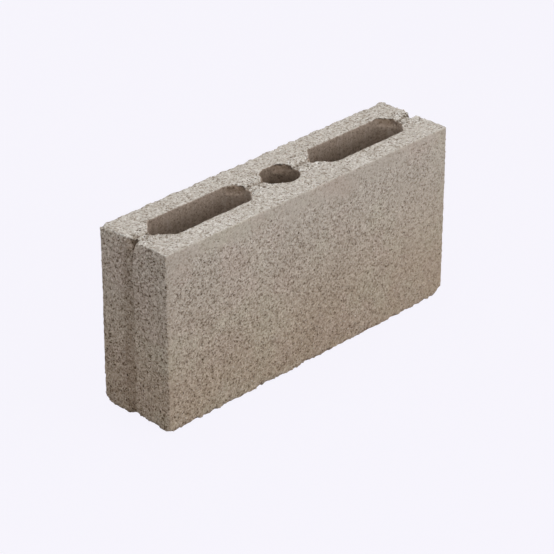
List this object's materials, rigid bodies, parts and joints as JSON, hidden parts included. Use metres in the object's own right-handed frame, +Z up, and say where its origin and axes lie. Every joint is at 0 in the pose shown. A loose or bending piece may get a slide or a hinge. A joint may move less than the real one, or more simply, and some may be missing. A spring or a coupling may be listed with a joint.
{
  "type": "concrete block",
  "caption": "Hollow concrete masonry block with a long pointed core on either side of a round finger hole, all open from the top to the bed.",
  "frame": {"origin": "middle of the bed, on the plane that the block stands on", "axes": "+X along the length, +Y across the width, +Z up, towards the face where the cores are widest"},
  "size_m": [0.39, 0.09, 0.19],
  "materials": {
    "concrete": "coarse dry-cast concrete, sandy and pitted"
  },
  "bodies": {
    "root": {"concrete_block": "concrete"}
  },
  "joints": []
}
